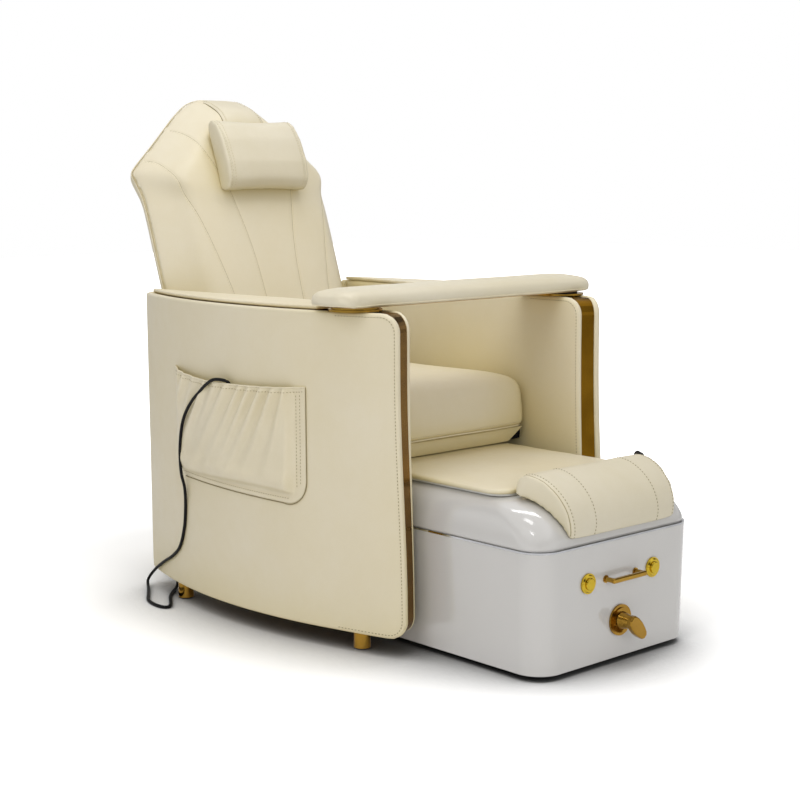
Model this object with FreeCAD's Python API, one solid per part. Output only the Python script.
import FreeCAD, Part
import math, os

os.makedirs("parts", exist_ok=True)

# Pedicure spa chair with a rolling foot basin, millimetres.
# X runs across the chair (the sitter's right, called near, is -X), Y runs from the foot
# basin (front, -Y) to the backrest (rear, +Y), Z is up and the floor is Z = 0.
# The drawing has Y = 0 at the front edge of the side panels. Each part is shifted as it is
# saved, so that the origin is the bottom centre of the bounding box.

Vector = FreeCAD.Vector
SHIFT = Vector(9.813, -332.210, 0)

# Shared fits
PIN_R = 8.0
RUN = 0.05                # running clearance on radius

# Side panels
PANEL_ARC_R = 1150.0      # outer face, radius in plan
PANEL_HALF_W = 385.0      # widest half width
PANEL_ARC_Y = 440.0       # where the panel is widest
PANEL_ARC_X = PANEL_ARC_R - PANEL_HALF_W
PANEL_REAR = 826.0        # where the rear corner starts
REAR_CORNER_R = 40.0
BOARD_T = 14.0            # outer board thickness
INNER_T = 16.0            # inner board thickness
PANEL_Z0 = 38.0
PANEL_Z1 = 682.0
PANEL_CORNER_R = 38.0
TOE_IN = 21.5             # front edge turned in, degrees
TOE_X = -283.0            # X at which the front of a side outline is given
STRIP_RECESS = 2.5
STRIP_T = 3.0
CORE_WALL = 18.0
FEET = [(-302.0, 100.0), (-338.0, 668.0)]     # X, Y
# Seat-side face of the near panel in plan: X, Y
INNER_LINE = [
    (-226.6, -17.3), (-238.0, 15.0), (-241.5, 200.0), (-246.0, 387.0),
    (-266.0, 540.0), (-281.5, 700.0), (-286.5, 787.0), (-286.5, 842.0)]

# Arm bar
ARM_X0, ARM_X1 = -372.0, 348.0
ARM_Y0, ARM_Y1 = 55.0, 180.0
ARM_Z0, ARM_Z1 = 691.0, 722.0
PIVOT_X, PIVOT_Y = -298.0, 118.0
PLATE_R, PLATE_T = 54.0, 4.0
SLEEVE_R = 12.0

# Seat
SEAT_TOP = 507.0
SEAT_HALF_W = 238.0
SEAT_FRONT = 165.0
SEAT_REAR = 661.0
FRAME_Z0, FRAME_Z1 = 362.0, 392.0

# Backrest: its own plane has x across, t up the face and d behind the face
RECLINE = 19.3            # lean of the front face at rest, degrees
LEAN_SIN = math.sin(math.radians(RECLINE))
LEAN_COS = math.cos(math.radians(RECLINE))
BACK_Y0, BACK_Z0 = 739.0, 690.0               # where t = d = 0
BACK_LOW_T = -150.0
HINGE_T, HINGE_D = -215.0, 45.0
HINGE_Y = BACK_Y0 + HINGE_T * LEAN_SIN + HINGE_D * LEAN_COS
HINGE_Z = BACK_Z0 + HINGE_T * LEAN_COS - HINGE_D * LEAN_SIN
ROLL_HALF_W = 242.0
BACK_FRAME_HALF_W = 208.0
BACK_TUBE = 25.0

# Recline actuator
LEVER_ANGLE = math.radians(10.0)
ACTUATOR_DROP = 98.5      # axis below the hinge
ACTUATOR_Z = HINGE_Z - ACTUATOR_DROP
ACTUATOR_Y = 341.0        # fixed pin
ACTUATOR_PIN_R = 5.0
ROD_TIP_Y = HINGE_Y + ACTUATOR_DROP * math.tan(LEVER_ANGLE)

# Foot basin
SEAM_HALF_W, BOTTOM_HALF_W = 231.0, 226.0
BASIN_FRONT, BASIN_REAR = -319.0, 330.0
FRONT_DRAFT = 3.0
BASIN_Z0 = 13.0
SEAM_Z = 250.0
SEAM_TOP = SEAM_Z + 1.6
DECK_Z = 336.0
BASIN_WALL = 5.0
FRONT_CORNER_R, BACK_CORNER_R = 55.0, 25.0
CONTROL_Z = 176.0         # height of the two buttons and the handle
BUTTON_X = 96.0           # half spacing
BUTTON_R = 12.0
POST_X = 44.0             # half spacing of the handle posts
KNOB_Z = 87.0
KNOB_STEM_R = 6.0
TUB_HALF_W, TUB_Y0, TUB_Y1 = 176.0, -176.0, 226.0
TUB_CORNER_R = 40.0
JET_X = [-105, -35, 35, 105]
JET_Z = 120
DRAIN_Y = 20.0
DRAIN_R = 17.0
STEM_R = 2.5
ROLLER_R = 14.0
ROLLER_X = 150.0
ROLLER_FRONT_Y, ROLLER_REAR_Y = -245.0, 255.0
AXLE_R = 3.0
SPRAY_X, SPRAY_Y = 208.0, -200.0
SPRAY_R = 6.5
COVER_Y0, COVER_Y1, COVER_HALF_W = -188.0, 250.0, 196.0

# Side pocket and handset
POCKET_Y0, POCKET_Y1 = 204.0, 640.0
POCKET_Z0, POCKET_Z1 = 282.0, 508.0
POCKET_TAPER = 14.0
HANDSET_Y, HANDSET_Z = 470.0, 374.0
HANDSET_OUT = 8.4         # centre of the handset outside the panel face


# ---------------------------------------------------------------------------
# Helpers
# ---------------------------------------------------------------------------
def box(x0, x1, y0, y1, z0, z1):
    return Part.makeBox(x1 - x0, y1 - y0, z1 - z0, Vector(x0, y0, z0))


def cylinder(base, axis, radius, length):
    return Part.makeCylinder(radius, length, Vector(*base), Vector(*axis))


def cyl_x(x, y, z, radius, length):
    return cylinder((x, y, z), (1, 0, 0), radius, length)


def cyl_y(x, y, z, radius, length):
    return cylinder((x, y, z), (0, 1, 0), radius, length)


def cyl_z(x, y, z, radius, length):
    return cylinder((x, y, z), (0, 0, 1), radius, length)


def cone(base, axis, radius0, radius1, length):
    return Part.makeCone(radius0, radius1, length, Vector(*base), Vector(*axis))


def closed_wire(points):
    return Part.makePolygon(points + [points[0]])


def face_of(points):
    return Part.Face(closed_wire([Vector(*p) for p in points]))


def prism_x(points, x0, x1):
    """Points are Y, Z."""
    return face_of([(x0, y, z) for y, z in points]).extrude(Vector(x1 - x0, 0, 0))


def prism_y(points, y0, y1):
    """Points are X, Z."""
    return face_of([(x, y0, z) for x, z in points]).extrude(Vector(0, y1 - y0, 0))


def prism_z(points, z0, z1):
    """Points are X, Y."""
    return face_of([(x, y, z0) for x, y in points]).extrude(Vector(0, 0, z1 - z0))


def fuse(first, *others):
    return first.multiFuse(list(others)).removeSplitter()


def group(*shapes):
    return Part.makeCompound(list(shapes))


def mirror(shape):
    return shape.mirror(Vector(0, 0, 0), Vector(1, 0, 0))


def both_sides(shape):
    return group(shape, mirror(shape))


def symmetric(points):
    """Half outline closed by its mirror image in X."""
    return points + [(-x, other) for x, other in points[::-1]]


def largest(shape):
    return max(shape.Solids, key=lambda solid: solid.Volume)


def all_edges(edge):
    return True


def vertical(edge):
    """True for the upright edges of a box."""
    return abs(edge.Vertexes[1].Point.z - edge.Vertexes[0].Point.z) > 0.01


def edges_above(z):
    return lambda edge: all(vertex.Point.z > z for vertex in edge.Vertexes)


def rounded(shape, radius, pick):
    edges = [edge for edge in shape.Edges if pick(edge)]
    # A fillet that the kernel cannot build leaves the shape with sharp edges.
    try:
        filleted = shape.makeFillet(radius, edges)
        if filleted.isValid() and filleted.Volume > 0:
            return filleted
    except Exception:
        pass
    return shape


def rounded_box(x0, x1, y0, y1, z0, z1, radius, pick=all_edges):
    return rounded(box(x0, x1, y0, y1, z0, z1), radius, pick)


def rounded_rect(x0, x1, y0, y1, z, front_r, rear_r):
    """Closed plan wire with rounded front (low Y) and rear corners."""
    bend = 1 - math.sqrt(0.5)

    def line(start, end):
        return Part.LineSegment(Vector(*start, z), Vector(*end, z)).toShape()

    def arc(start, middle, end):
        return Part.Arc(Vector(*start, z), Vector(*middle, z), Vector(*end, z)).toShape()

    front_bend, rear_bend = front_r * bend, rear_r * bend
    return Part.Wire([
        line((x0 + front_r, y0), (x1 - front_r, y0)),
        arc((x1 - front_r, y0), (x1 - front_bend, y0 + front_bend), (x1, y0 + front_r)),
        line((x1, y0 + front_r), (x1, y1 - rear_r)),
        arc((x1, y1 - rear_r), (x1 - rear_bend, y1 - rear_bend), (x1 - rear_r, y1)),
        line((x1 - rear_r, y1), (x0 + rear_r, y1)),
        arc((x0 + rear_r, y1), (x0 + rear_bend, y1 - rear_bend), (x0, y1 - rear_r)),
        line((x0, y1 - rear_r), (x0, y0 + front_r)),
        arc((x0, y0 + front_r), (x0 + front_bend, y0 + front_bend), (x0 + front_r, y0))])


def slab(x0, x1, y0, y1, z0, z1, front_r, rear_r):
    outline = rounded_rect(x0, x1, y0, y1, z0, front_r, rear_r)
    return Part.Face(outline).extrude(Vector(0, 0, z1 - z0))


def loft(*wires):
    """Ruled solid through the wires."""
    return Part.makeLoft(list(wires), True, True)


def save(name, shape):
    placed = shape.copy()
    placed.translate(SHIFT)
    placed.exportStep("parts/%s.step" % name)


# ---------------------------------------------------------------------------
# Side panels, drawn for the near side and mirrored for the far one
# ---------------------------------------------------------------------------
def arc_angle(y):
    return math.asin((y - PANEL_ARC_Y) / PANEL_ARC_R)


def on_arc(y, outward):
    """Plan point level with y on the outer face, moved out along the face normal."""
    angle = arc_angle(y)
    radius = PANEL_ARC_R + outward
    return (PANEL_ARC_X - radius * math.cos(angle), PANEL_ARC_Y + radius * math.sin(angle))


def arc_line(y0, y1, outward, steps=14):
    return [on_arc(y0 + (y1 - y0) * i / steps, outward) for i in range(steps + 1)]


def outer_face_line(inward, steps=26):
    """Outer face in plan with its rear corner, moved inward."""
    points = arc_line(-40.0, PANEL_REAR, -inward, steps)
    angle = arc_angle(PANEL_REAR)
    end_x, end_y = on_arc(PANEL_REAR, 0.0)
    centre_x = end_x + REAR_CORNER_R * math.cos(angle)
    centre_y = end_y - REAR_CORNER_R * math.sin(angle)
    radius = REAR_CORNER_R - inward
    start = 180 - math.degrees(angle)
    corner_steps = 7
    for i in range(1, corner_steps + 1):
        turn = math.radians(start + (90 - start) * i / corner_steps)
        points.append((centre_x + radius * math.cos(turn), centre_y + radius * math.sin(turn)))
    return points


def inner_line_moved(outboard):
    return [(x - outboard, y) for x, y in INNER_LINE]


def inboard_of(line, z0, z1):
    """Everything on the seat side of a plan line."""
    return prism_z(line + [(-150.0, line[-1][1]), (-150.0, line[0][1])], z0, z1)


def corner_arc(y, z, radius, start, end, steps=8):
    """Y, Z points of an arc, angles in degrees."""
    angles = [math.radians(start + (end - start) * i / steps) for i in range(steps + 1)]
    return [(y + radius * math.cos(a), z + radius * math.sin(a)) for a in angles]


def side_block(front, z0, z1, radius, x0=-420.0, width=220.0, rear=905.0):
    """Side outline with rounded front corners, swept along the toed-in front edge."""
    outline = [(rear, z0)]
    outline += corner_arc(front + radius, z0 + radius, radius, 270, 180)
    outline += corner_arc(front + radius, z1 - radius, radius, 180, 90)
    outline += [(rear, z1)]
    slope = math.tan(math.radians(TOE_IN))
    y_shift = (x0 - TOE_X) * slope
    face = face_of([(x0, y + y_shift, z) for y, z in outline])
    return face.extrude(Vector(width, width * slope, 0))


def inset_block(inset):
    return side_block(inset, PANEL_Z0 + inset, PANEL_Z1 - inset, PANEL_CORNER_R - inset)


CORE_LINE = outer_face_line(BOARD_T)
OUTER_REGION = outer_face_line(0.0) + CORE_LINE[::-1]


def cut_foot_holes(shape):
    for x, y in FEET:
        shape = shape.cut(cyl_z(x, y, 30.0, 18.5, 16.0))
    return shape


def make_outer_board():
    return cut_foot_holes(prism_z(OUTER_REGION, 0.0, 720.0).common(inset_block(0.0)))


def make_inner_board():
    region = INNER_LINE + inner_line_moved(INNER_T)[::-1]
    board = prism_z(region, 0.0, 720.0).common(inset_block(0.0))
    return cut_foot_holes(board.cut(prism_z(OUTER_REGION, 0, 700)))


def make_strip():
    """Edge strip recessed between the two boards, at the front and along the top."""
    region = [p for p in CORE_LINE if p[1] < 420.0] + inner_line_moved(INNER_T)[:4][::-1]
    strip = prism_z(region, 0, 720).common(inset_block(STRIP_RECESS))
    strip = strip.cut(inset_block(STRIP_RECESS + STRIP_T))
    kept = fuse(box(-420, -200, -60, 176, 300, 720), box(-420, -200, -60, 60, 0, 301))
    return cut_foot_holes(strip.common(kept))


def make_core():
    """Filling between the boards, hollow inside, drilled for the foot studs."""
    inset = STRIP_RECESS + STRIP_T + 0.2
    core = inboard_of(CORE_LINE, 0, 720)
    core = core.cut(inboard_of(inner_line_moved(INNER_T), -1, 721))
    core = core.common(side_block(inset, PANEL_Z0 + 8.0, PANEL_Z1 - inset, 32.0))
    core = largest(core)
    hollow = [p for p in outer_face_line(BOARD_T + CORE_WALL) if 150.0 < p[1] < 790.0]
    inner_side = inner_line_moved(INNER_T + CORE_WALL)[::-1]
    hollow += [p for p in inner_side if 190 < p[1] < 790]
    core = core.cut(prism_z(hollow, 70, 650))
    for x, y in FEET:
        core = core.cut(cyl_z(x, y, 40.0, 5.0, 22.0))
    return core


def make_rail():
    """Top rail of the panel, behind the arm plates."""
    top = PANEL_Z1 + 8.0
    rail = inboard_of(outer_face_line(BOARD_T + 1.2, 40), PANEL_Z1, top)
    rail = rail.cut(inboard_of(INNER_LINE, PANEL_Z1 - 1, top + 1.0))
    rail = rail.common(box(-420, -200, 187.0, 900, PANEL_Z1 - 2, PANEL_Z1 + 20))
    return rounded(largest(rail), 3.0, edges_above(top - 0.1))


def make_foot(x, y):
    return fuse(cyl_z(x, y, 3.0, 17.5, 42.8), cyl_z(x, y, 45.0, 5.0, 16.0))


def arm_plate(x):
    """Round plate on top of a panel with a sleeve down into it."""
    return fuse(cyl_z(x, PIVOT_Y, PANEL_Z1, PLATE_R, PLATE_T),
                cyl_z(x, PIVOT_Y, 640.0, SLEEVE_R, 42.5))


outer_board = make_outer_board()
inner_board = make_inner_board()
core = make_core()
strip = make_strip()
near_sleeve_hole = cyl_z(PIVOT_X, PIVOT_Y, 630.0, SLEEVE_R, 60.0)
far_sleeve_hole = cyl_z(-PIVOT_X, PIVOT_Y, 630.0, SLEEVE_R, 60.0)
feet = [make_foot(x, y) for x, y in FEET]
glides = [cyl_z(x, y, 0.0, 15.0, 3.0) for x, y in FEET]

save("panel_outer_boards", both_sides(outer_board))
save("panel_inner_boards", both_sides(inner_board))
save("panel_cores", group(core.cut(near_sleeve_hole), mirror(core).cut(far_sleeve_hole)))
save("trim_strips", group(strip.cut(near_sleeve_hole), mirror(strip).cut(far_sleeve_hole)))
save("top_rails", both_sides(make_rail()))
save("feet", group(*feet, *[mirror(foot) for foot in feet]))
save("foot_glides", group(*glides, *[mirror(glide) for glide in glides]))
save("arm_pivot_base", arm_plate(PIVOT_X).cut(
    cyl_z(PIVOT_X, PIVOT_Y, 630.0, PIN_R + RUN, 70.0)))
save("arm_landing_plate", arm_plate(-PIVOT_X))
save("arm_landing_wear_pad", cyl_z(-PIVOT_X, PIVOT_Y, PANEL_Z1 + PLATE_T, 40.0, 4.0))


# ---------------------------------------------------------------------------
# Arm bar: swings about a vertical pin in the near panel
# ---------------------------------------------------------------------------
def make_arm_pivot_disc():
    return fuse(cyl_z(PIVOT_X, PIVOT_Y, 686.3, 48.0, 3.7),
                cyl_z(PIVOT_X, PIVOT_Y, 641.0, PIN_R, 47.0))


def make_arm_pad():
    pad = rounded_box(ARM_X0, ARM_X1, ARM_Y0, ARM_Y1, ARM_Z0, ARM_Z1, 40.0, vertical)
    pad = rounded(pad, 9.0, edges_above(ARM_Z1 - 1))
    return pad.cut(rounded_box(-345.5, 322.5, 69.5, 165.5, 689.0, 697.3, 30.0, vertical))


save("arm_pivot_disc", make_arm_pivot_disc())
save("arm_board", rounded_box(-345.0, 322.0, 70.0, 165.0, 690.0, 697.0, 30.0, vertical))
save("arm_pad", make_arm_pad())

# ---------------------------------------------------------------------------
# Seat
# ---------------------------------------------------------------------------
# Everything outboard of the near panel's seat-side face
panel_zone = prism_z(INNER_LINE + [(-330, 842), (-330, -20)], 0, 700)

# Frame bars: X0, X1, Y0, Y1, Z0, Z1
SEAT_BARS = [
    (200, 230, 190, 745, FRAME_Z0, FRAME_Z1), (-230, -200, 190, 745, FRAME_Z0, FRAME_Z1),
    (-230, 230, 190, 220, FRAME_Z0, FRAME_Z1), (-230, 230, 300, 330, FRAME_Z0, 391),
    (200, 230, 640, 670, 300, 363), (-230, -200, 640, 670, 300, 363),
    (-230, 230, 640, 670, 300, 330),
    (229, 254.5, 694, 722, FRAME_Z0, FRAME_Z1), (-254.5, -229, 694, 722, FRAME_Z0, FRAME_Z1)]


def seat_hinge_ear():
    """Upright plate on the far side that carries a backrest hinge pin."""
    x0, thickness = 254.5, 6.0
    outline = [(HINGE_Y - 24, 364), (HINGE_Y + 14, 364),
               (HINGE_Y + 20, HINGE_Z), (HINGE_Y - 20, HINGE_Z)]
    ear = fuse(prism_x(outline, x0, x0 + thickness),
               cyl_x(x0, HINGE_Y, HINGE_Z, 20.0, thickness))
    return ear.cut(cyl_x(250, HINGE_Y, HINGE_Z, PIN_R, 14))


def make_seat_frame():
    bars = [box(*bar) for bar in SEAT_BARS]
    # Side arms that reach out to the panels
    arms = [box(-320, -229, y0, y1, FRAME_Z0, FRAME_Z1).cut(panel_zone)
            for y0, y1 in ((200, 240), (470, 510))]
    bars += [mirror(arm) for arm in arms] + arms
    ear = seat_hinge_ear()
    bars += [ear, mirror(ear)]
    # Clevis plates for the fixed end of the recline actuator
    for x0 in (-24.0, 18.0):
        plate = box(x0, x0 + 6, 329, 352, FRAME_Z0, 390)
        bars.append(plate.cut(cyl_x(x0 - 1, ACTUATOR_Y, ACTUATOR_Z, ACTUATOR_PIN_R, 8)))
    return fuse(*bars)


def make_seat_cushion():
    cushion = rounded_box(-SEAT_HALF_W, SEAT_HALF_W, SEAT_FRONT, SEAT_REAR,
                          FRAME_Z1, SEAT_TOP, 18.0)
    return cushion.cut(box(-245, 245, 189.5, 670, 380, 404.4))


save("seat_frame", make_seat_frame())
save("seat_board", box(-214, 214, 192, 640, FRAME_Z1, 404).cut(box(-30, 30, 620, 645, 380, 410)))
save("seat_cushion", make_seat_cushion())
save("seat_flap", prism_y([(-234, 391.5), (234, 391.5), (190, 353), (-190, 353)], 171.0, 182.0))

# ---------------------------------------------------------------------------
# Backrest, drawn in its own plane
# ---------------------------------------------------------------------------
# Half outline: x, t, then the shares of an inset taken off x and t,
# then the shares of a growth added to x and t
BACK_OUTLINE = [
    (248, -150, 1.0, 0.0, 0.0, 0.0),
    (264, -120, 1.0, 0.0, 0.0, 0.0),
    (267, 60, 1.0, 0.0, 0.0, 0.0),
    (268, 195, 1.0, 0.0, 0.0, 0.0),
    (275, 240, 1.0, 0.3, 0.0, 0.0),
    (278, 290, 0.8, 0.3, 0.0, 0.0),
    (268, 318, 0.8, 0.6, 0.6, 0.9),
    (226, 362, 0.8, 0.6, 0.6, 0.9),
    (137, 447, 0.5, 0.8, 0.6, 0.9),
    (92, 480, 0.5, 0.8, 0.6, 0.9),
    (52, 494, 0.2, 0.8, 0.12, 0.9)]
# Cross sections: inset of the outline, d
FRONT_SECTIONS = [(84, 0.0), (64, 12.0), (45, 34.0), (24, 60.0), (5, 84.0), (0, 90.0)]
REAR_SECTIONS = [(0, 91.0), (6, 108.0), (20, 124.0), (40, 136.0), (52, 139.0)]
# Backing board outline: x, t
BACK_BOARD = symmetric([(226, -148), (228, 40), (230, 262), (206, 318), (112, 412), (56, 444)])


def back_point(x, t, d):
    return Vector(x, BACK_Y0 + t * LEAN_SIN + d * LEAN_COS,
                  BACK_Z0 + t * LEAN_COS - d * LEAN_SIN)


def back_wire(inset, d, low_t=BACK_LOW_T, grow=0.0):
    half = [(x - inset * inset_x + grow * grow_x, t - inset * inset_t + grow * grow_t)
            for x, t, inset_x, inset_t, grow_x, grow_t in BACK_OUTLINE]
    half[0] = (half[0][0], low_t)
    return closed_wire([back_point(x, t, d) for x, t in symmetric(half)])


def back_loft(sections, low_t=BACK_LOW_T, grow=0.0):
    return loft(*[back_wire(inset, d, low_t, grow) for inset, d in sections])


def back_prism(points, d0, d1):
    """x, t outline extruded backward."""
    face = face_of([back_point(x, t, d0) for x, t in points])
    return face.extrude(back_point(0, 0, d1) - back_point(0, 0, d0))


def back_box(x0, x1, t0, t1, d0, d1):
    return back_prism([(x0, t0), (x1, t0), (x1, t1), (x0, t1)], d0, d1)


def back_prism_x(points, x0, x1):
    """t, d outline extruded across the chair."""
    face = face_of([back_point(x0, t, d) for t, d in points])
    return face.extrude(Vector(x1 - x0, 0, 0))


def at_hinge(shape):
    """Lean a shape drawn round the origin and set it on the hinge axis."""
    shape.rotate(Vector(0, 0, 0), Vector(1, 0, 0), -RECLINE)
    shape.translate(Vector(0, HINGE_Y, HINGE_Z))
    return shape


def make_back_cushion():
    # The lower roll is centred on the hinge so that it never leaves its own outline.
    roll = fuse(box(-ROLL_HALF_W, ROLL_HALF_W, -HINGE_D, 45.0, 0, 67),
                cyl_x(-ROLL_HALF_W, 0, 0, 45.0, 2 * ROLL_HALF_W))
    cushion = fuse(back_loft(FRONT_SECTIONS), at_hinge(roll))
    notches = [at_hinge(box(x0, x1, -60, 110, -60, 66))
               for x0, x1 in ((242.5, 300), (-300, -242.5))]
    return cushion.cut(group(*notches))


def make_back_board():
    # The notch clears the lever.
    return back_prism(BACK_BOARD, 90.5, 101.0).cut(back_box(-20, 20, -152, -118, 85, 102))


def shell_inner_wire(inset, d):
    gap = 2.5 - inset
    points = []
    for x, t in BACK_BOARD:
        rise = gap if t > 300 else (-6 if t < -100 else 0)
        points.append(back_point(x + (gap if x > 0 else -gap), t + rise, d))
    return closed_wire(points)


def make_back_shell(blank):
    shell = blank.cut(loft(shell_inner_wire(0, 90.0), shell_inner_wire(0, 104.0),
                           shell_inner_wire(14, 127.5)))
    shell = shell.cut(back_box(-24, 24, -175, -149, 95, 145))     # clears the lever
    return shell.cut(both_sides(back_box(180, 256, -170, -138, 99.0, 121.5)))


def back_frame_ear():
    """Far-side hinge ear with the link that joins it to the frame."""
    x0, x1 = 246.0, 252.0
    link_x0 = BACK_FRAME_HALF_W - BACK_TUBE
    low_t = HINGE_T - 12
    outline = [(-151, 120), (-151, 88), (-190, 52), (HINGE_T, 27),
               (low_t, 32), (low_t, 58), (-190, 92)]
    ear = fuse(back_prism_x(outline, x0, x1), cyl_x(x0, HINGE_Y, HINGE_Z, 18.0, x1 - x0))
    ear = fuse(ear, back_box(link_x0, x1, -160, -149.5, 101, 120),
               back_box(link_x0, BACK_FRAME_HALF_W, -150, -140, 101, 120))
    return ear.cut(cyl_x(x0 - 2, HINGE_Y, HINGE_Z, PIN_R + RUN, 10))


def on_lever(down, across):
    """Y, Z of a point down the lever from the hinge and across it, at rest."""
    along_sin, along_cos = math.sin(LEVER_ANGLE), math.cos(LEVER_ANGLE)
    return (HINGE_Y + down * along_sin + across * along_cos,
            HINGE_Z - down * along_cos + across * along_sin)


def lever_plate(x0):
    """One of the two slotted plates pulled by the actuator."""
    top = [back_point(0, t, d) for t, d in ((-146, 126), (-124, 126), (-124, 110))]
    outline = [on_lever(118, -14), on_lever(118, 14), on_lever(84, 20)]
    outline += [(p.y, p.z) for p in top] + [on_lever(88, -13)]
    slot_top, slot_end, slot_r = 97.5, 106.0, 6.2
    sides = [on_lever(slot_top, -slot_r), on_lever(slot_top, slot_r),
             on_lever(slot_end, slot_r), on_lever(slot_end, -slot_r)]
    slot = fuse(cyl_x(x0 - 1, *on_lever(slot_top, 0), slot_r, 8),
                cyl_x(x0 - 1, *on_lever(slot_end, 0), slot_r, 8),
                prism_x(sides, x0 - 1, x0 + 7))
    return prism_x(outline, x0, x0 + 6).cut(slot)


def make_back_frame():
    half_w, d0, d1 = BACK_FRAME_HALF_W, 101.0, 124.0
    tubes = [back_box(half_w - BACK_TUBE, half_w, -146, 262, d0, d1),
             back_box(-half_w, BACK_TUBE - half_w, -146, 262, d0, d1)]
    tubes += [back_box(-half_w, half_w, t, t + BACK_TUBE, d0, d1) for t in (-146, 60, 237)]
    ear = back_frame_ear()
    return fuse(*tubes, ear, mirror(ear), *[lever_plate(x0) for x0 in (-15.0, 9.0)])


def make_head_strap(cushion, shell_blank):
    """Strap up the front face, over the top and onto the rear."""
    half_w, thickness, gap = 62.0, 2.6, 0.3
    front = back_box(-half_w, half_w, 262, 409, -thickness - gap, -gap)
    first_inset, last_inset = FRONT_SECTIONS[0][0], REAR_SECTIONS[-1][0]
    rear_d = REAR_SECTIONS[-1][1]
    outside = [(first_inset, -thickness - gap)]
    outside += [(inset, d - 1.0) for inset, d in FRONT_SECTIONS[1:]]
    outside += [(inset, d + 1.5) for inset, d in REAR_SECTIONS[:-1]]
    outside += [(last_inset, rear_d + thickness)]
    inside = [(first_inset, -gap)]
    inside += [(inset, d - 0.2) for inset, d in FRONT_SECTIONS[1:]]
    inside += [(inset, d + 0.2) for inset, d in REAR_SECTIONS[1:-1]]
    inside += [(last_inset, rear_d + gap)]
    over = back_loft(outside, grow=4.0)
    over = over.cut(back_loft(inside, -160.0, 0.4).removeSplitter())
    over = over.common(back_box(-half_w, half_w, 330, 520, -10, 160))
    over = over.cut(back_box(-110, 110, 320, 408, -12, 60))
    return largest(fuse(front, over).cut(cushion).cut(shell_blank))


def make_head_pillow():
    half_w, low_t, high_t = 121.0, 228.0, 404.0
    # Side outline: t, d
    outline = [
        (low_t + 10, -4.0), (low_t + 1, -16), (low_t + 3, -34), (low_t + 20, -48),
        (low_t + 60, -54), (high_t - 60, -50), (high_t - 22, -40), (high_t - 4, -26),
        (high_t - 2, -12), (high_t - 12, -4.0)]
    return back_prism_x(outline, -half_w, half_w)


back_cushion = make_back_cushion()
shell_blank = back_loft(REAR_SECTIONS)
save("back_cushion", back_cushion)
save("back_board", make_back_board())
save("back_shell", make_back_shell(shell_blank))
save("back_frame", make_back_frame())
save("back_hinge_pins", both_sides(cyl_x(245.0, HINGE_Y, HINGE_Z, PIN_R, 17.0)))
save("head_strap", make_head_strap(back_cushion, shell_blank))
save("head_pillow", make_head_pillow())


# ---------------------------------------------------------------------------
# Recline actuator, rear cover and control box
# ---------------------------------------------------------------------------
def make_actuator_body():
    z = ACTUATOR_Z
    body = fuse(cyl_y(0, 356.0, z, 15.5, 240.0),
                rounded_box(-64, -8, 372, 440, z - 15, z + 15, 4.0),
                cyl_x(-17.5, ACTUATOR_Y, z, 9.5, 35.0),
                box(-10, 10, ACTUATOR_Y, 358, z - 9, z + 9))
    body = body.cut(cyl_x(-20, ACTUATOR_Y, z, ACTUATOR_PIN_R, 40))
    return body.cut(cyl_y(0, 470.0, z, PIN_R + RUN, 140.0))


def make_actuator_rod():
    start_y = 540.0
    rod = fuse(cyl_y(0, start_y, ACTUATOR_Z, PIN_R, ROD_TIP_Y - start_y - 7.0),
               cyl_x(-7.5, ROD_TIP_Y, ACTUATOR_Z, 10.0, 15.0))
    return rod.cut(cyl_x(-9, ROD_TIP_Y, ACTUATOR_Z, ACTUATOR_PIN_R, 18))


def make_rear_cover():
    """Upright board between the rear ends of the panels."""
    cover = box(-300, 300, PANEL_REAR, 838, 60, 410)
    for shape in (panel_zone, mirror(panel_zone), outer_board, mirror(outer_board)):
        cover = cover.cut(shape)
    return cover


save("actuator_body", make_actuator_body())
save("actuator_fixed_pin", cyl_x(-26, ACTUATOR_Y, ACTUATOR_Z, ACTUATOR_PIN_R, 52))
save("actuator_rod", make_actuator_rod())
save("actuator_rod_pin", cyl_x(-17.5, ROD_TIP_Y, ACTUATOR_Z, ACTUATOR_PIN_R, 35.0))
save("rear_cover", make_rear_cover())
save("control_box", rounded_box(40, 180, 590, 720, 236, 300, 5.0))


# ---------------------------------------------------------------------------
# Foot basin: body, seam, deck
# ---------------------------------------------------------------------------
def height_share(z):
    return (z - BASIN_Z0) / (SEAM_Z - BASIN_Z0)


def front_at(z):
    """Y of the basin's front face at a height."""
    return BASIN_FRONT + FRONT_DRAFT * (1 - height_share(z))


def basin_wire(z, inset, drawn_z):
    """Plan outline the basin has at z, moved in by inset and drawn at drawn_z."""
    half_w = BOTTOM_HALF_W + (SEAM_HALF_W - BOTTOM_HALF_W) * height_share(z) - inset
    return rounded_rect(-half_w, half_w, front_at(z) + inset, BASIN_REAR - inset, drawn_z,
                        FRONT_CORNER_R - inset, BACK_CORNER_R - inset)


def make_basin_body():
    top = SEAM_Z - 2.0
    body = loft(basin_wire(BASIN_Z0, 0, BASIN_Z0), basin_wire(top, 0, top))
    body = body.cut(loft(basin_wire(BASIN_Z0, BASIN_WALL, BASIN_Z0 - 1),
                         basin_wire(top, BASIN_WALL, SEAM_Z + 5)))
    for side in (-1, 1):
        body = body.cut(cyl_y(side * BUTTON_X, -330, CONTROL_Z, 14.5, 30))
        body = body.cut(cyl_y(side * POST_X, -330, CONTROL_Z, 2.6, 30))
    return body.cut(cyl_y(0, -330, KNOB_Z, 12.0, 30))


def make_seam_trim():
    band = Part.Face(basin_wire(SEAM_Z, -0.6, SEAM_Z - 2.0)).extrude(Vector(0, 0, 3.6))
    inside = Part.Face(basin_wire(SEAM_Z, BASIN_WALL, SEAM_Z - 3.0))
    return band.cut(inside.extrude(Vector(0, 0, 6)))


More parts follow.
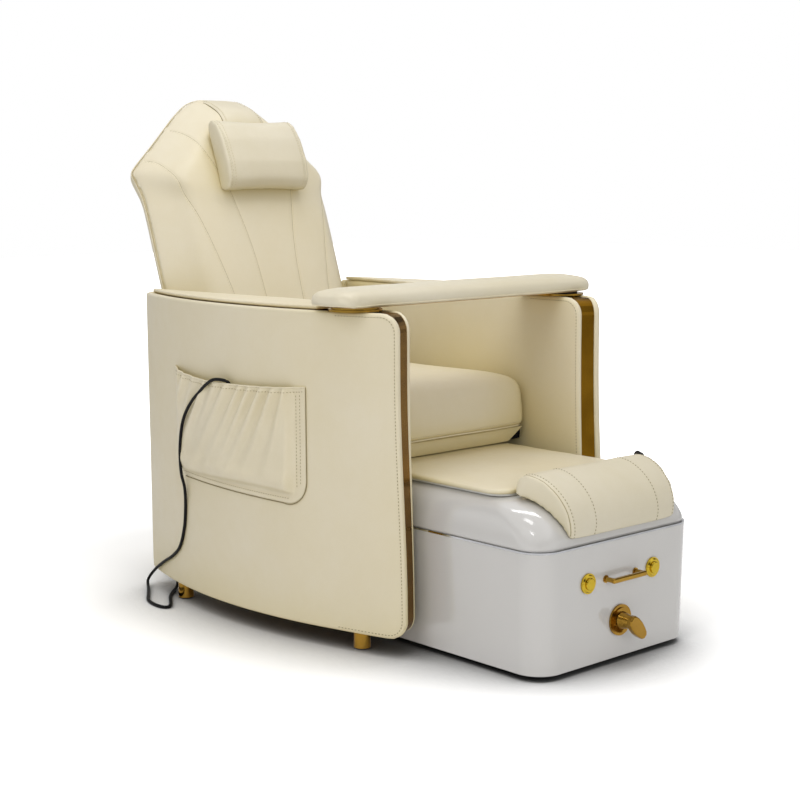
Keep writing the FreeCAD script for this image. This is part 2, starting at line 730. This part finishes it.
# Deck section along the chair, outside and inside: Y, Z
DECK_OUT_SIDE = [
    (BASIN_REAR - 2, SEAM_TOP), (-315.5, SEAM_TOP), (-315.0, 262), (-311, 273), (-303, 285),
    (-291, 299), (-276, 312.5), (-259, 323), (-241, 330.5), (-222, 335), (-202, DECK_Z),
    (BASIN_REAR - 30, DECK_Z), (BASIN_REAR - 12, DECK_Z - 6), (BASIN_REAR - 3, DECK_Z - 20)]
DECK_IN_SIDE = [
    (BASIN_REAR - 8, SEAM_TOP - 5), (-309.5, SEAM_TOP - 5), (-309, 262), (-305, 271),
    (-297, 282), (-286, 294), (-272, 306.5), (-256, 316.5), (-239, 324), (-221, 328.5),
    (-202, 330), (BASIN_REAR - 34, 330), (BASIN_REAR - 18, 325), (BASIN_REAR - 9, 313)]
# Deck section across the chair, outside and inside: X, Z
DECK_OUT_FRONT = symmetric([
    (229.5, SEAM_TOP), (227.5, 278), (223.5, 298), (218.5, 311), (212.0, 321),
    (204.0, 328.8), (195.0, 334.0), (184.0, DECK_Z)])
DECK_IN_FRONT = symmetric([
    (223.5, SEAM_TOP - 5), (221.5, 277), (217.5, 296), (212.5, 307.5), (206, 317),
    (199, 323.5), (191, 328.2), (182, 330)])


def deck_block(side_section, front_section, plan):
    block = prism_x(side_section, -235, 235).common(prism_y(front_section, -340, 340))
    return block.common(plan)


def make_basin_top():
    outside = slab(-229.5, 229.5, -317, BASIN_REAR, SEAM_TOP, DECK_Z, 53.0, 24.0)
    inside = slab(-223.5, 223.5, -311, BASIN_REAR - 6, SEAM_TOP - 5, DECK_Z, 48.0, 19.0)
    top = deck_block(DECK_OUT_SIDE, DECK_OUT_FRONT, outside)
    top = top.cut(deck_block(DECK_IN_SIDE, DECK_IN_FRONT, inside))
    top = top.cut(slab(-TUB_HALF_W, TUB_HALF_W, TUB_Y0, TUB_Y1, 300, 360,
                       TUB_CORNER_R, TUB_CORNER_R))
    # Seat of the spray holder
    top = top.cut(cyl_z(SPRAY_X, SPRAY_Y, 300, 9.0, 60))
    return top.cut(cyl_z(SPRAY_X, SPRAY_Y, 333.0, 13.0, 20))


save("basin_body", make_basin_body())
save("basin_seam_trim", make_seam_trim())
save("basin_top", make_basin_top())


# ---------------------------------------------------------------------------
# Tub, jets and drain
# ---------------------------------------------------------------------------
def make_jet(x):
    jet = fuse(cyl_y(x, -186, JET_Z, 9.0, 30), cyl_y(x, -161.0, JET_Z, 13.0, 6.0))
    return jet.cut(cyl_y(x, -190, JET_Z, 4.0, 50))


def make_tub(jets):
    wall, taper = 5, 16
    tub = slab(-TUB_HALF_W - wall, TUB_HALF_W + wall, TUB_Y0 - wall, TUB_Y1 + wall,
               68, 330.0, 45, 45)
    floor = rounded_rect(-TUB_HALF_W + taper, TUB_HALF_W - taper,
                         TUB_Y0 + taper, TUB_Y1 - taper, 73, 34, 34)
    rim = rounded_rect(-TUB_HALF_W, TUB_HALF_W, TUB_Y0, TUB_Y1, 331,
                       TUB_CORNER_R, TUB_CORNER_R)
    tub = tub.cut(loft(floor, rim)).cut(cyl_z(0, DRAIN_Y, 60, DRAIN_R, 30))
    for x in JET_X:
        tub = tub.cut(cyl_y(x, -190, JET_Z, 9.0, 40))
    return tub.cut(jets)


def make_drain():
    """Drain cup with a pipe to the rear and a cross bar that guides the plug."""
    drain = fuse(cyl_z(0, DRAIN_Y, 54, DRAIN_R, 17.0), cyl_y(0, DRAIN_Y, 54, 12.0, 270.0))
    drain = drain.cut(cyl_z(0, DRAIN_Y, 54, 14.0, 20.0))
    drain = drain.cut(cyl_y(0, DRAIN_Y, 54, 9.0, 290.0))
    bar = fuse(box(-14.5, 14.5, DRAIN_Y - 1.5, DRAIN_Y + 1.5, 60, 66),
               cyl_z(0, DRAIN_Y, 60, 5.0, 6.0))
    return fuse(drain, bar.cut(cyl_z(0, DRAIN_Y, 55, STEM_R + RUN, 20)))


def make_drain_plug():
    return fuse(cyl_z(0, DRAIN_Y, 73.6, 21.0, 4.0), cyl_z(0, DRAIN_Y, 56, STEM_R, 18.5))


jets = group(*[make_jet(x) for x in JET_X])
save("tub_bowl", make_tub(jets))
save("tub_jets", jets)
save("drain_fitting", make_drain())
save("drain_plug", make_drain_plug())

# ---------------------------------------------------------------------------
# Controls on the basin's front face
# ---------------------------------------------------------------------------
KNOB_FACE = front_at(KNOB_Z)
CONTROL_FACE = front_at(CONTROL_Z)
WING_ANGLE = math.radians(-46.0)
# Knob wing: distance along it, half width
WING = [(-14, 6), (-9, 11.5), (2, 14.5), (16, 15), (30, 12.5), (40, 9.5), (45, 4.5)]


def make_escutcheon():
    plate = fuse(cyl_y(0, KNOB_FACE - 7.2, KNOB_Z, 25.0, 3.0),
                 cyl_y(0, KNOB_FACE - 4.5, KNOB_Z, 31.0, 4.0),
                 cyl_y(0, KNOB_FACE - 1, KNOB_Z, 11.5, 22.0))
    return plate.cut(cyl_y(0, KNOB_FACE - 20, KNOB_Z, KNOB_STEM_R + RUN, 60))


def make_knob():
    knob = fuse(cyl_y(0, KNOB_FACE - 12.0, KNOB_Z, KNOB_STEM_R, 40.0),
                cone((0, KNOB_FACE - 35.0, KNOB_Z), (0, 1, 0), 10.5, 17.5, 27.0))
    turn_sin, turn_cos = math.sin(WING_ANGLE), math.cos(WING_ANGLE)
    flat = WING + [(reach, -half) for reach, half in WING[::-1]]
    turned = [(reach * turn_cos - half * turn_sin,
               KNOB_Z + reach * turn_sin + half * turn_cos) for reach, half in flat]
    front = KNOB_FACE - 42.0
    wing = rounded(prism_y(turned, front, front + 11.0), 3.0,
                   lambda edge: max(v.Point.y for v in edge.Vertexes) < front + 0.5)
    return fuse(knob, wing)


def make_bezel(x):
    bezel = fuse(cyl_y(x, CONTROL_FACE - 3.35, CONTROL_Z, 20.0, 3.0),
                 cyl_y(x, CONTROL_FACE - 1.0, CONTROL_Z, 14.0, 30.0),
                 cone((x, CONTROL_FACE - 6.0, CONTROL_Z), (0, 1, 0), 15.5, 18.0, 3.0))
    return bezel.cut(cyl_y(x, CONTROL_FACE - 20, CONTROL_Z, BUTTON_R + RUN, 60.0))


def make_button(x):
    front = CONTROL_FACE - 10.0

    def front_rim(edge):
        bounds = edge.BoundBox
        return abs(bounds.YMin - front) < 0.01 and abs(bounds.YMax - front) < 0.01

    return rounded(cyl_y(x, front, CONTROL_Z, BUTTON_R, 30.0), 2.5, front_rim)


def make_handle():
    reach = 22.0
    grip_y = CONTROL_FACE - reach
    handle = fuse(
        cyl_y(-POST_X, grip_y, CONTROL_Z, 5.0, reach - 0.2),
        cyl_y(POST_X, grip_y, CONTROL_Z, 5.0, reach - 0.2),
        rounded_box(-POST_X - 5.5, POST_X + 5.5, grip_y - 5, grip_y + 4,
                    CONTROL_Z - 5.0, CONTROL_Z + 5.0, 3.0),
        cyl_y(-POST_X, CONTROL_FACE - 2.2, CONTROL_Z, 7.5, 2.0),
        cyl_y(POST_X, CONTROL_FACE - 2.2, CONTROL_Z, 7.5, 2.0))
    for x in (-POST_X, POST_X):
        handle = handle.cut(cyl_y(x, CONTROL_FACE - 12, CONTROL_Z, 2.0, 20))
    return handle


def make_handle_screw(x):
    return fuse(cyl_y(x, CONTROL_FACE - 11, CONTROL_Z, 2.0, 18.0),
                cyl_y(x, CONTROL_FACE + 5.4, CONTROL_Z, 4.5, 3.5))


save("drain_escutcheon", make_escutcheon())
save("drain_knob", make_knob())
save("button_bezels", group(make_bezel(-BUTTON_X), make_bezel(BUTTON_X)))
save("button_near", make_button(-BUTTON_X))
save("button_far", make_button(BUTTON_X))
save("pull_handle", make_handle())
save("handle_screws", group(make_handle_screw(-POST_X), make_handle_screw(POST_X)))

# ---------------------------------------------------------------------------
# Chassis, rollers and pump
# ---------------------------------------------------------------------------
ROLLER_PLACES = [(side * ROLLER_X, y) for y in (ROLLER_FRONT_Y, ROLLER_REAR_Y)
                 for side in (-1, 1)]


def make_chassis():
    chassis = slab(-214, 214, -304, 318, 7.0, 22.0, 46, 16)
    for x, y in ROLLER_PLACES:
        chassis = chassis.cut(box(x - 12, x + 12, y - 19, y + 19, 0, 40))
        chassis = chassis.cut(cyl_x(x - 24, y, ROLLER_R, AXLE_R, 48))
    # Posts that carry the tub
    posts = [box(x - 12, x + 12, y - 12, y + 12, 21.5, 68.0)
             for x in (-120, 120) for y in (-150, 200)]
    return fuse(chassis, *posts)


def make_roller(x, y):
    roller = cyl_x(x - 9, y, ROLLER_R, ROLLER_R, 18.0)
    return roller.cut(cyl_x(x - 10, y, ROLLER_R, AXLE_R + RUN, 20))


def make_pump():
    return fuse(cyl_z(60, 40, 22.5, 34.0, 40.0), cyl_x(94, 40, 42, 9.0, 26.0),
                cylinder((60, 6, 42), (0, -1, 0), 9.0, 30.0))


rollers = [make_roller(x, y) for x, y in ROLLER_PLACES]
save("basin_chassis", make_chassis())
save("rollers_front", group(*rollers[:2]))
save("rollers_rear", group(*rollers[2:]))
save("roller_axles", group(*[cyl_x(x - 22, y, ROLLER_R, AXLE_R, 44) for x, y in ROLLER_PLACES]))
save("jet_pump", make_pump())

# ---------------------------------------------------------------------------
# Hand spray on the far side of the deck, calf pad and tub cover
# ---------------------------------------------------------------------------
# Calf pad section, over the top and back along the underside: Y, Z
CALF_SECTION = [
    (-318, 266), (-321, 284), (-318, 304), (-309, 325), (-293, 343.5), (-271, 359),
    (-247, 369.5), (-222, 374.5), (-206, 371.5), (-198, 362), (-199, 350), (-206, 342),
    (-221, 337.5), (-242, 333.0), (-260, 325.5), (-278, 314.5), (-293.5, 300.5),
    (-305.5, 286.3), (-309, 276)]
# Waste beyond the calf pad's far edge, seen from the front: X, Z
CALF_WASTE = [(147, 260), (152, 275), (166, 300), (177, 330), (182, 355), (181, 390),
              (260, 390), (260, 260)]


def make_spray_holder():
    holder = fuse(cyl_z(SPRAY_X, SPRAY_Y, 310.0, 9.0, 34.0),
                  cyl_z(SPRAY_X, SPRAY_Y, 335.5, 13.0, 7.0))
    return holder.cut(cyl_z(SPRAY_X, SPRAY_Y, 300, SPRAY_R + RUN, 60))


def make_spray():
    return fuse(cyl_z(SPRAY_X, SPRAY_Y, 318.0, SPRAY_R, 34.0),
                cone((SPRAY_X, SPRAY_Y, 350.0), (0, 0, 1), 8.5, 6.0, 10.0),
                cylinder((SPRAY_X, SPRAY_Y, 358.0), (-0.5, 0.0, 0.6), 6.0, 18.0))


def make_spray_head():
    head = cylinder((SPRAY_X - 7.0, SPRAY_Y, 370.0), (-0.75, 0.0, 0.35), 8.0, 14.0)
    return head.removeSplitter() if False else head


def make_calf_pad():
    waste = prism_y(CALF_WASTE, -400, -150)
    pad = prism_x(CALF_SECTION, -190, 190).cut(waste).cut(mirror(waste))
    return pad.cut(cyl_z(SPRAY_X, SPRAY_Y, 300, 14.0, 100))


def make_cover_pad():
    top = 351.5
    pad = slab(-COVER_HALF_W - 8, COVER_HALF_W + 8, COVER_Y0 - 4, COVER_Y1 + 8,
               341.2, top, 44, 44)
    return rounded(pad, 3.0, edges_above(top - 0.01))


spray_head = make_spray_head()
save("hand_spray", make_spray().cut(spray_head))
save("hand_spray_head", spray_head)
save("spray_holder", make_spray_holder())
save("calf_pad", make_calf_pad())
save("cover_board", slab(-COVER_HALF_W, COVER_HALF_W, COVER_Y0, COVER_Y1,
                         DECK_Z + 0.3, 341.0, 42, 42))
save("cover_pad", make_cover_pad())

# ---------------------------------------------------------------------------
# Storage pocket, handset and its cord on the near panel
# ---------------------------------------------------------------------------
# The cord leaves the handset, turns back up inside the pocket, goes over its lip, hangs
# down the outside and runs down the panel: Y, Z, distance outside the panel face
CORD_ON_PANEL = [
    (470, 373.2, 8.4), (470, 357, 8.4), (477, 343, 8.4), (491, 338, 8.4), (503, 350, 8.4),
    (507, 380, 8.4), (507, 440, 8.4), (507, 500, 8.4), (509, 512, 9.8), (517, 518.5, 15.2),
    (532, 511, 20.3), (552, 482, 20.3), (574, 445, 20.2), (592, 395, 20.1), (600, 339, 20.1),
    (600, 276, 19.9), (600, 248, 9), (603, 230, 4.5), (604, 195, 4.0), (618, 150, 4.0),
    (655, 110, 4.0), (705, 78, 4.5), (752, 48, 5.0), (786, 22, 4.0)]
# Then it loops over the floor and turns up under the panel: X, Y, Z
CORD_ON_FLOOR = [
    (-352, 790, 6.0), (-374, 756, 3.3), (-392, 705, 3.3), (-400, 655, 3.3), (-397, 622, 3.3),
    (-385, 610, 3.3), (-373, 628, 3.3), (-360, 672, 3.3), (-345, 708, 5.0), (-334, 722, 14.0),
    (-330, 726, 30.0), (-330, 726, 45.2)]
CORD_R = 3.0


def make_pocket():
    y0, y1 = POCKET_Y0 + POCKET_TAPER, POCKET_Y1 - POCKET_TAPER
    outside = arc_line(POCKET_Y0, POCKET_Y1, 0.3) + arc_line(y0, y1, 16.3)[::-1]
    inside = arc_line(y0, y1, 2.3) + arc_line(y0 + 8, y1 - 8, 14.5)[::-1]
    pocket = prism_z(outside, POCKET_Z0, POCKET_Z1)
    return pocket.cut(prism_z(inside, POCKET_Z0 + 6, POCKET_Z1 + 5))


def on_panel(shape):
    """Turn a shape drawn at the origin to the panel face and move it there."""
    shape.rotate(Vector(0, 0, 0), Vector(0, 0, 1), -math.degrees(arc_angle(HANDSET_Y)))
    shape.translate(Vector(*on_arc(HANDSET_Y, HANDSET_OUT), HANDSET_Z))
    return shape


HANDSET_BUTTON_R = 8.0
BUTTON_UP_Z, BUTTON_DOWN_Z = 96.0, 66.0       # above the bottom of the handset


def make_handset():
    handset = rounded_box(-5.0, 5.0, -24.0, 24.0, 0.0, 130.0, 4.0)
    for z in (BUTTON_UP_Z, BUTTON_DOWN_Z):
        handset = handset.cut(cyl_x(-6, 0, z, HANDSET_BUTTON_R + RUN, 4.0))
    return on_panel(handset)


def make_handset_button(z):
    return on_panel(cyl_x(-5.6, 0, z, HANDSET_BUTTON_R, 2.2))


def smooth(points, steps=4):
    """Catmull-Rom samples through the points."""
    samples = []
    for i in range(len(points) - 1):
        before, start, end = points[max(i - 1, 0)], points[i], points[i + 1]
        after = points[min(i + 2, len(points) - 1)]
        for k in range(steps):
            t = k / float(steps)
            samples.append((start * 2 + (end - before) * t
                            + (before * 2 - start * 5 + end * 4 - after) * (t * t)
                            + (start * 3 - before - end * 3 + after) * (t ** 3)) * 0.5)
    return samples + [points[-1]]


def tube(points, radius, sides=10):
    """Cord of polygonal section through the points, as one ruled solid."""
    wires = []
    across = Vector(1, 0, 0)
    for i, point in enumerate(points):
        forward = points[min(i + 1, len(points) - 1)] - points[max(i - 1, 0)]
        forward.normalize()
        # Carrying the last ring's direction along keeps the rings from twisting.
        across = across - forward * across.dot(forward)
        across.normalize()
        upright = forward.cross(across)
        angles = [2 * math.pi * k / sides for k in range(sides)]
        wires.append(closed_wire([
            point + (across * math.cos(a) + upright * math.sin(a)) * radius for a in angles]))
    return loft(*wires)


def make_cord():
    path = [Vector(*on_arc(y, outward), z) for y, z, outward in CORD_ON_PANEL]
    path += [Vector(*point) for point in CORD_ON_FLOOR]
    return tube(smooth(path), CORD_R)


save("side_pocket", make_pocket())
save("handset", make_handset())
save("handset_button_up", make_handset_button(BUTTON_UP_Z))
save("handset_button_down", make_handset_button(BUTTON_DOWN_Z))
save("handset_cord", make_cord())
